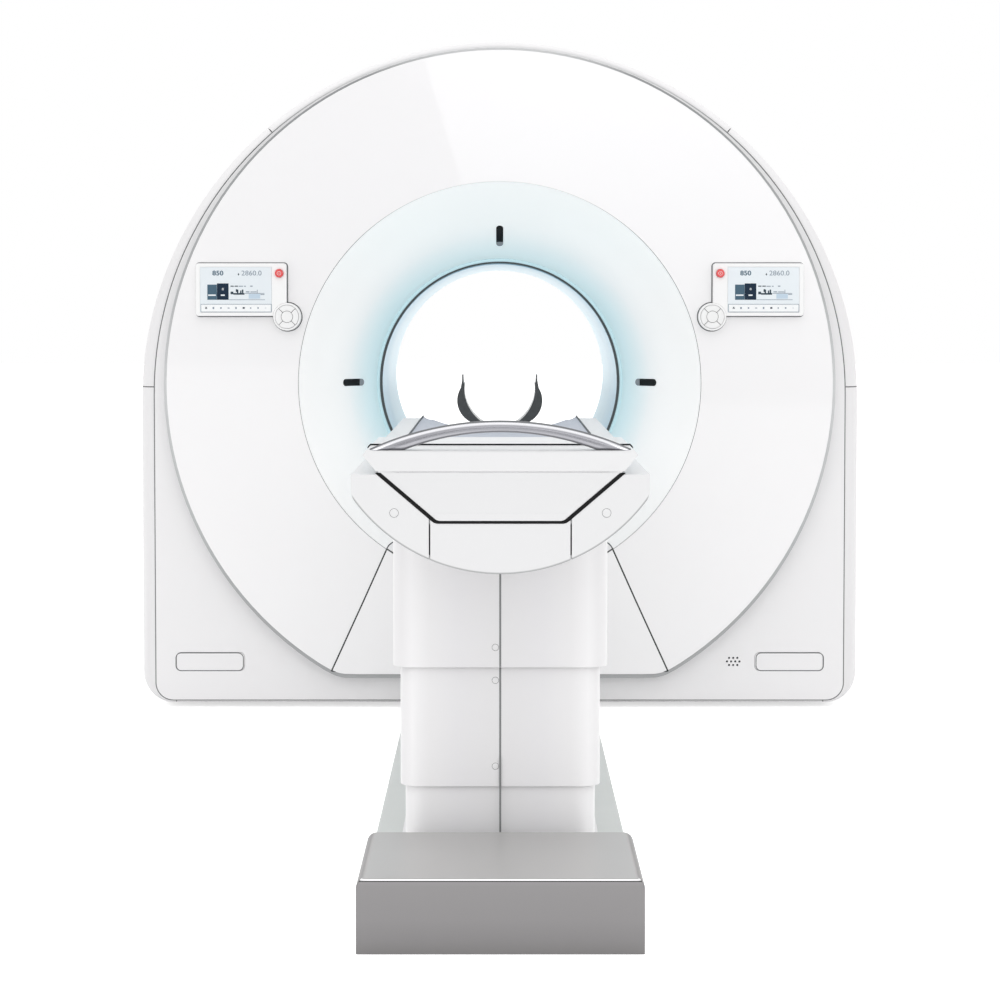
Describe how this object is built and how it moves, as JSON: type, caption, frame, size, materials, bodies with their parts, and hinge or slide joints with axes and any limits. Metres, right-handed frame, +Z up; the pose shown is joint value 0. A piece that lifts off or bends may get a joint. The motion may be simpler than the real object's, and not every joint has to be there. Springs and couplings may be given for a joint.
{
  "type": "pet-ct scanner",
  "caption": "Ring-shaped PET-CT scanner: covered gantry with a lit bore, side displays and an inner CT rotor, and a patient couch whose column rises and whose pallet slides through the bore.",
  "frame": {"origin": "on the floor, straight below the bore axis, at the middle of the gantry's depth", "axes": "+Z up, +Y along the bore from the couch into the gantry, +X to the right as seen from the couch"},
  "size_m": [2.296, 4.69, 2.118],
  "materials": {
    "cover_white": "painted moulding, satin gloss",
    "funnel_white": "painted moulding, satin gloss",
    "trim_grey": "satin",
    "ring_grey": "matte",
    "light_diffuser": "frosted, lit from behind",
    "liner_blue": "smooth",
    "laser_black": "smoked window",
    "speaker_dark": "matte",
    "screen_glass": "lit display behind glass",
    "key_white": "satin moulding",
    "stop_red": "gloss",
    "frame_steel": "powder coat",
    "cast_grey": "machined casting",
    "bearing_steel": "ground",
    "coil_copper": "wound and potted",
    "tube_metal": "satin",
    "detector_dark": "satin",
    "pet_blue": "satin",
    "brushed_cover": "brushed",
    "plate_grey": "satin",
    "column_white": "painted moulding",
    "beam_white": "painted moulding",
    "rail_steel": "ground",
    "pallet_white": "gel coat",
    "pad_grey": "coated upholstery cloth",
    "handle_metal": "satin anodised",
    "holder_black": "carbon-fibre laminate"
  },
  "bodies": {
    "base": {"gantry_base_frame": "frame_steel", "cover_frame": "frame_steel", "ct_stator": "cast_grey", "main_bearing": "bearing_steel", "drive_coils": "coil_copper", "pet_frame": "frame_steel", "pet_modules": "pet_blue", "front_panel": "cover_white", "front_disc": "cover_white", "disc_trim": "trim_grey", "front_funnel": "funnel_white", "lower_service_cover": "cover_white", "bore_ring": "ring_grey", "light_ring": "light_diffuser", "bore_liner": "liner_blue", "laser_windows": "laser_black", "access_plugs": "cover_white", "speaker": "speaker_dark", "top_cover": "cover_white", "upper_side_covers": "cover_white", "lower_side_covers": "cover_white", "bottom_skirt": "cover_white", "rear_panel": "cover_white", "rear_funnel": "funnel_white", "display_housings": "cover_white", "display_screens": "screen_glass", "keypad_pods": "cover_white", "front_base_cover": "brushed_cover", "floor_plate": "plate_grey", "lower_column_cover": "column_white", "lift_outer_tube": "frame_steel", "lift_screw": "rail_steel"},
    "rotor": {"rotor_drum": "cast_grey", "x_ray_tube": "tube_metal", "detector_arc": "detector_dark", "high_voltage_box": "tube_metal", "balance_box": "tube_metal", "slip_ring": "coil_copper"},
    "middle_stage": {"middle_column_cover": "column_white", "lift_middle_tube": "frame_steel"},
    "lift_stage": {"upper_column_cover": "column_white", "couch_beam": "beam_white", "beam_front_cover": "beam_white", "pallet_rails": "rail_steel"},
    "pallet": {"pallet": "pallet_white", "pallet_pad": "pad_grey", "grab_handle": "handle_metal", "head_holder": "holder_black"},
    "left_stop": {"left_stop_button": "stop_red"},
    "right_stop": {"right_stop_button": "stop_red"},
    "left_up": {"left_up_key": "key_white"},
    "left_down": {"left_down_key": "key_white"},
    "left_in": {"left_in_key": "key_white"},
    "left_out": {"left_out_key": "key_white"},
    "left_centre": {"left_centre_key": "key_white"},
    "right_up": {"right_up_key": "key_white"},
    "right_down": {"right_down_key": "key_white"},
    "right_in": {"right_in_key": "key_white"},
    "right_out": {"right_out_key": "key_white"},
    "right_centre": {"right_centre_key": "key_white"}
  },
  "joints": [
    {"name": "couch_lift", "type": "slide", "parent": "base", "child": "lift_stage", "axis": [0, 0, 1], "range_m": [-0.4, 0.03]},
    {"name": "middle_lift", "type": "slide", "parent": "base", "child": "middle_stage", "axis": [0, 0, 1], "range_m": [-0.141, 0.011]},
    {"name": "pallet_travel", "type": "slide", "parent": "lift_stage", "child": "pallet", "axis": [0, 1, 0], "range_m": [0, 2]},
    {"name": "rotor_spin", "type": "hinge", "parent": "base", "child": "rotor", "pos_m": [0, -0.4, 1.035], "axis": [0, 1, 0], "continuous": true},
    {"name": "left_stop_press", "type": "slide", "parent": "base", "child": "left_stop", "axis": [0, 1, 0], "range_m": [0, 0.004]},
    {"name": "right_stop_press", "type": "slide", "parent": "base", "child": "right_stop", "axis": [0, 1, 0], "range_m": [0, 0.004]},
    {"name": "left_up_press", "type": "slide", "parent": "base", "child": "left_up", "axis": [0, 1, 0], "range_m": [0, 0.0012], "stiffness_N_per_m": 900},
    {"name": "left_down_press", "type": "slide", "parent": "base", "child": "left_down", "axis": [0, 1, 0], "range_m": [0, 0.0012], "stiffness_N_per_m": 900},
    {"name": "left_in_press", "type": "slide", "parent": "base", "child": "left_in", "axis": [0, 1, 0], "range_m": [0, 0.0012], "stiffness_N_per_m": 900},
    {"name": "left_out_press", "type": "slide", "parent": "base", "child": "left_out", "axis": [0, 1, 0], "range_m": [0, 0.0012], "stiffness_N_per_m": 900},
    {"name": "left_centre_press", "type": "slide", "parent": "base", "child": "left_centre", "axis": [0, 1, 0], "range_m": [0, 0.0012], "stiffness_N_per_m": 900},
    {"name": "right_up_press", "type": "slide", "parent": "base", "child": "right_up", "axis": [0, 1, 0], "range_m": [0, 0.0012], "stiffness_N_per_m": 900},
    {"name": "right_down_press", "type": "slide", "parent": "base", "child": "right_down", "axis": [0, 1, 0], "range_m": [0, 0.0012], "stiffness_N_per_m": 900},
    {"name": "right_in_press", "type": "slide", "parent": "base", "child": "right_in", "axis": [0, 1, 0], "range_m": [0, 0.0012], "stiffness_N_per_m": 900},
    {"name": "right_out_press", "type": "slide", "parent": "base", "child": "right_out", "axis": [0, 1, 0], "range_m": [0, 0.0012], "stiffness_N_per_m": 900},
    {"name": "right_centre_press", "type": "slide", "parent": "base", "child": "right_centre", "axis": [0, 1, 0], "range_m": [0, 0.0012], "stiffness_N_per_m": 900}
  ],
  "couplings": [
    {"joint": "middle_lift", "follows": "couch_lift", "ratio": 0.35}
  ]
}
